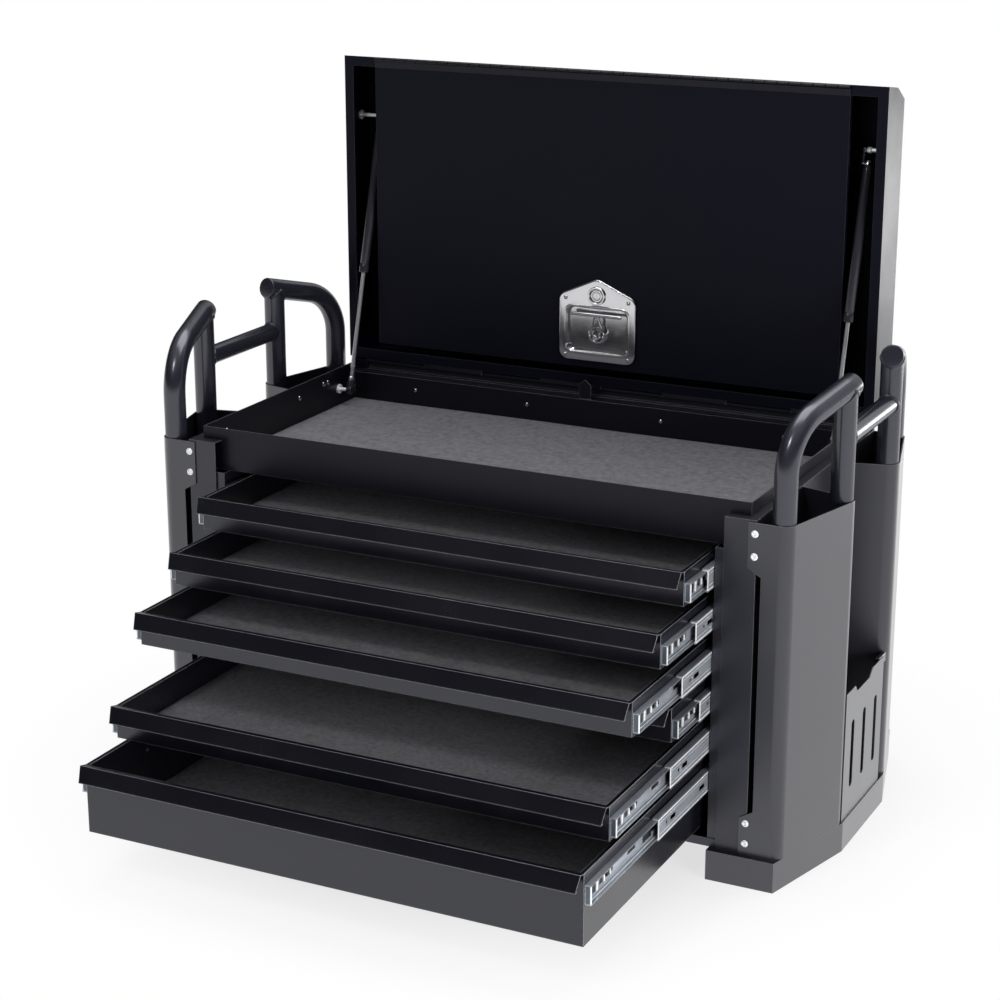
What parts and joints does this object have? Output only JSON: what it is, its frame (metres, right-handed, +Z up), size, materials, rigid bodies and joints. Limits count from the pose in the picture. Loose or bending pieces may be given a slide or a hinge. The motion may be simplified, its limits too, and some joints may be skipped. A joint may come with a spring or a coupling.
{
  "type": "machinist tool chest",
  "caption": "Low black tool chest with a lift-up lid, a top tray, stacked pull-out drawers and a bumper frame of bent pipe.",
  "frame": {"origin": "on the floor, in the middle of the footprint of the two plinths", "axes": "+X to the right of someone facing the drawers, +Y to the rear, +Z up"},
  "size_m": [1.1124, 1.0085, 1.0836],
  "materials": {
    "case_paint": "satin black powder coat",
    "drawer_paint": "satin black powder coat",
    "lid_paint": "satin black powder coat",
    "guard_paint": "satin black powder coat",
    "pipe_paint": "semi-gloss black powder coat",
    "zinc": "bright zinc plate",
    "chrome": "polished chrome plate",
    "strut_rod": "ground steel rod",
    "strut_tube": "gloss black enamel",
    "liner": "grey ribbed foam sheet",
    "mat": "dark grey mottled mat"
  },
  "bodies": {
    "chest": {"case_wrap": "case_paint", "case_floor": "case_paint", "slide_panel_right": "case_paint", "slide_panel_left": "case_paint", "plinth_right": "guard_paint", "plinth_left": "guard_paint", "side_bin_plates": "guard_paint", "corner_guard_front_right": "guard_paint", "corner_guard_front_left": "guard_paint", "corner_guard_rear_right": "guard_paint", "corner_guard_rear_left": "guard_paint", "hoop_front_right": "pipe_paint", "hoop_front_left": "pipe_paint", "hoop_rear_right": "pipe_paint", "hoop_rear_left": "pipe_paint", "upright_frame_right": "pipe_paint", "upright_frame_left": "pipe_paint", "top_tray": "case_paint", "tray_mat": "mat", "tray_ball_studs": "zinc", "cabinet_slides": "zinc", "lid_hinge_fixed_leaf": "case_paint"},
    "lid": {"lid_shell": "lid_paint", "lid_hinge_moving_leaf": "case_paint", "flap_hinge_lid_leaf": "zinc", "lid_ball_studs": "zinc"},
    "flap": {"flap_panel": "lid_paint", "flap_hinge_flap_leaf": "zinc", "lock_housing": "chrome"},
    "key": {"key_cylinder": "chrome"},
    "hub": {"lock_hub": "chrome"},
    "handle": {"lock_handle": "chrome"},
    "rod_right": {"strut_rod_right": "strut_rod"},
    "cylinder_right": {"strut_cylinder_right": "strut_tube"},
    "rod_left": {"strut_rod_left": "strut_rod"},
    "cylinder_left": {"strut_cylinder_left": "strut_tube"},
    "drawer_body_1": {"drawer_1": "drawer_paint", "drawer_liner_1": "liner", "drawer_slides_1": "zinc"},
    "middle_body_1": {"middle_slides_1": "zinc"},
    "drawer_body_2": {"drawer_2": "drawer_paint", "drawer_liner_2": "liner", "drawer_slides_2": "zinc"},
    "middle_body_2": {"middle_slides_2": "zinc"},
    "drawer_body_3": {"drawer_3": "drawer_paint", "drawer_liner_3": "liner", "drawer_slides_3": "zinc"},
    "middle_body_3": {"middle_slides_3": "zinc"},
    "drawer_body_4": {"drawer_4": "drawer_paint", "drawer_liner_4": "liner", "drawer_slides_4": "zinc"},
    "middle_body_4": {"middle_slides_4": "zinc"},
    "drawer_body_5": {"drawer_5": "drawer_paint", "drawer_liner_5": "liner", "drawer_slides_5": "zinc"},
    "middle_body_5": {"middle_slides_5": "zinc"},
    "drawer_body_6": {"drawer_6": "drawer_paint", "drawer_liner_6": "liner", "drawer_slides_6": "zinc"},
    "middle_body_6": {"middle_slides_6": "zinc"}
  },
  "joints": [
    {"name": "lid_swing", "type": "hinge", "parent": "chest", "child": "lid", "pos_m": [0, 0.257, 0.564], "axis": [-1, 0, 0], "range_deg": [-87.5, 0]},
    {"name": "flap_swing", "type": "hinge", "parent": "lid", "child": "flap", "pos_m": [0, 0.2386, 1.0803], "axis": [-1, 0, 0], "range_deg": [0, 120]},
    {"name": "key_turn", "type": "hinge", "parent": "flap", "child": "key", "pos_m": [0, 0.235, 0.723], "axis": [0, -1, 0], "range_deg": [0, 90]},
    {"name": "hub_turn", "type": "hinge", "parent": "flap", "child": "hub", "pos_m": [0, 0.235, 0.659], "axis": [0, -1, 0], "range_deg": [0, 90]},
    {"name": "handle_fold", "type": "hinge", "parent": "hub", "child": "handle", "pos_m": [0, 0.23285, 0.657], "axis": [1, 0, 0], "range_deg": [0, 88]},
    {"name": "rod_swing_right", "type": "hinge", "parent": "chest", "child": "rod_right", "pos_m": [0.427, 0.168, 0.532], "axis": [-1, 0, 0], "range_deg": [-90.85, 0]},
    {"name": "cylinder_slide_right", "type": "slide", "parent": "rod_right", "child": "cylinder_right", "axis": [0, 0.2668, 0.9638], "range_m": [-0.129, 0]},
    {"name": "rod_swing_left", "type": "hinge", "parent": "chest", "child": "rod_left", "pos_m": [-0.427, 0.168, 0.532], "axis": [-1, 0, 0], "range_deg": [-90.85, 0]},
    {"name": "cylinder_slide_left", "type": "slide", "parent": "rod_left", "child": "cylinder_left", "axis": [0, 0.2668, 0.9638], "range_m": [-0.129, 0]},
    {"name": "drawer_1_slide", "type": "slide", "parent": "chest", "child": "drawer_body_1", "axis": [0, -1, 0], "range_m": [-0.1197, 0.3303]},
    {"name": "middle_1_slide", "type": "slide", "parent": "chest", "child": "middle_body_1", "axis": [0, -1, 0], "range_m": [-0.0599, 0.1652]},
    {"name": "drawer_2_slide", "type": "slide", "parent": "chest", "child": "drawer_body_2", "axis": [0, -1, 0], "range_m": [-0.1995, 0.2505]},
    {"name": "middle_2_slide", "type": "slide", "parent": "chest", "child": "middle_body_2", "axis": [0, -1, 0], "range_m": [-0.0998, 0.1253]},
    {"name": "drawer_3_slide", "type": "slide", "parent": "chest", "child": "drawer_body_3", "axis": [0, -1, 0], "range_m": [-0.293, 0.157]},
    {"name": "middle_3_slide", "type": "slide", "parent": "chest", "child": "middle_body_3", "axis": [0, -1, 0], "range_m": [-0.14655, 0.07855]},
    {"name": "drawer_4_slide", "type": "slide", "parent": "chest", "child": "drawer_body_4", "axis": [0, -1, 0], "range_m": [-0.154, 0.296]},
    {"name": "middle_4_slide", "type": "slide", "parent": "chest", "child": "middle_body_4", "axis": [0, -1, 0], "range_m": [-0.07705, 0.14805]},
    {"name": "drawer_5_slide", "type": "slide", "parent": "chest", "child": "drawer_body_5", "axis": [0, -1, 0], "range_m": [-0.3632, 0.0868]},
    {"name": "middle_5_slide", "type": "slide", "parent": "chest", "child": "middle_body_5", "axis": [0, -1, 0], "range_m": [-0.18165, 0.04345]},
    {"name": "drawer_6_slide", "type": "slide", "parent": "chest", "child": "drawer_body_6", "axis": [0, -1, 0], "range_m": [-0.4423, 0.0077]},
    {"name": "middle_6_slide", "type": "slide", "parent": "chest", "child": "middle_body_6", "axis": [0, -1, 0], "range_m": [-0.2212, 0.0039]}
  ],
  "couplings": [
    {"joint": "rod_swing_right", "follows": "lid_swing", "ratio": 1.0377},
    {"joint": "cylinder_slide_right", "follows": "lid_swing", "m_per_rad": 0.08435},
    {"joint": "rod_swing_left", "follows": "lid_swing", "ratio": 1.0377},
    {"joint": "cylinder_slide_left", "follows": "lid_swing", "m_per_rad": 0.08435},
    {"joint": "middle_1_slide", "follows": "drawer_1_slide", "ratio": 0.5},
    {"joint": "middle_2_slide", "follows": "drawer_2_slide", "ratio": 0.5},
    {"joint": "middle_3_slide", "follows": "drawer_3_slide", "ratio": 0.5},
    {"joint": "middle_4_slide", "follows": "drawer_4_slide", "ratio": 0.5},
    {"joint": "middle_5_slide", "follows": "drawer_5_slide", "ratio": 0.5},
    {"joint": "middle_6_slide", "follows": "drawer_6_slide", "ratio": 0.5}
  ]
}
